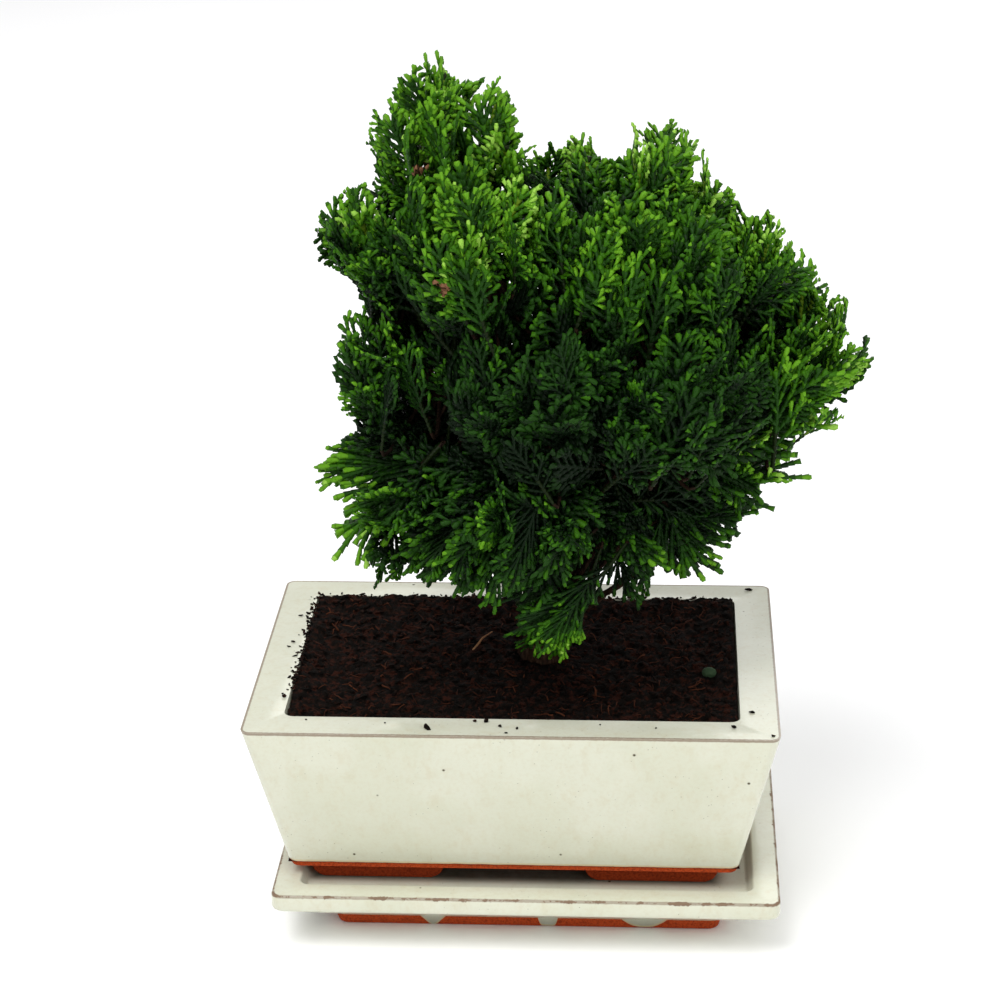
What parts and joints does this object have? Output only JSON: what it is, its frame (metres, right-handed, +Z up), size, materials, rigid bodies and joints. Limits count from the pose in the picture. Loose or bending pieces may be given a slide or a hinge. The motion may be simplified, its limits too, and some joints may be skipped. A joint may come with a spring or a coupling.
{
  "type": "potted hinoki cypress",
  "caption": "Small fan-leaved conifer with a leaning trunk, in a cream-glazed rectangular pot on a matching drip tray.",
  "frame": {"origin": "centre of the drip tray's flat underside, on the surface the plant stands on", "axes": "+Z up, +X along the long side of the pot to the right as seen from the front, -Y towards the front"},
  "size_m": [0.1854, 0.1175, 0.2614],
  "materials": {
    "tray_glaze": "glossy cream glaze, thin and brown at the edges, bare clay below",
    "pot_glaze": "glossy cream glaze with small iron specks",
    "bare_clay": "matt unglazed red-brown clay",
    "soil": "loose dark potting soil with fibres",
    "bark": "dull red-brown fibrous bark",
    "foliage": "flat fans of blunt green scale leaves, lighter at the tips"
  },
  "bodies": {
    "root": {"tray": "tray_glaze", "pot": "pot_glaze", "pot_foot_front_left": "bare_clay", "pot_foot_front_right": "bare_clay", "pot_foot_back_left": "bare_clay", "pot_foot_back_right": "bare_clay", "soil": "soil", "trunk": "bark", "bough_upper_left": "bark", "bough_top_right": "bark", "bough_upper_front": "bark", "bough_upper_right_front": "bark", "bough_right_upper": "bark", "bough_right": "bark", "bough_right_lower": "bark", "bough_right_bottom": "bark", "bough_left_middle": "bark", "bough_left_lower": "bark", "bough_centre_front": "bark", "bough_centre_lower": "bark", "bough_front_droop": "bark", "bough_right_front": "bark", "bough_back_top": "bark", "bough_back_left": "bark", "bough_back_right": "bark", "bough_back_centre": "bark", "bough_back_left_lower": "bark", "bough_back_right_lower": "bark", "foliage_leader_top": "foliage", "foliage_upper_left": "foliage", "foliage_top_right": "foliage", "foliage_upper_front": "foliage", "foliage_upper_right_front": "foliage", "foliage_right_upper": "foliage", "foliage_right": "foliage", "foliage_right_lower": "foliage", "foliage_right_bottom": "foliage", "foliage_left_middle": "foliage", "foliage_left_lower": "foliage", "foliage_centre_front": "foliage", "foliage_centre_lower": "foliage", "foliage_front_droop": "foliage", "foliage_right_front": "foliage", "foliage_back_top": "foliage", "foliage_back_left": "foliage", "foliage_back_right": "foliage", "foliage_back_centre": "foliage", "foliage_back_left_lower": "foliage", "foliage_back_right_lower": "foliage"}
  },
  "joints": []
}
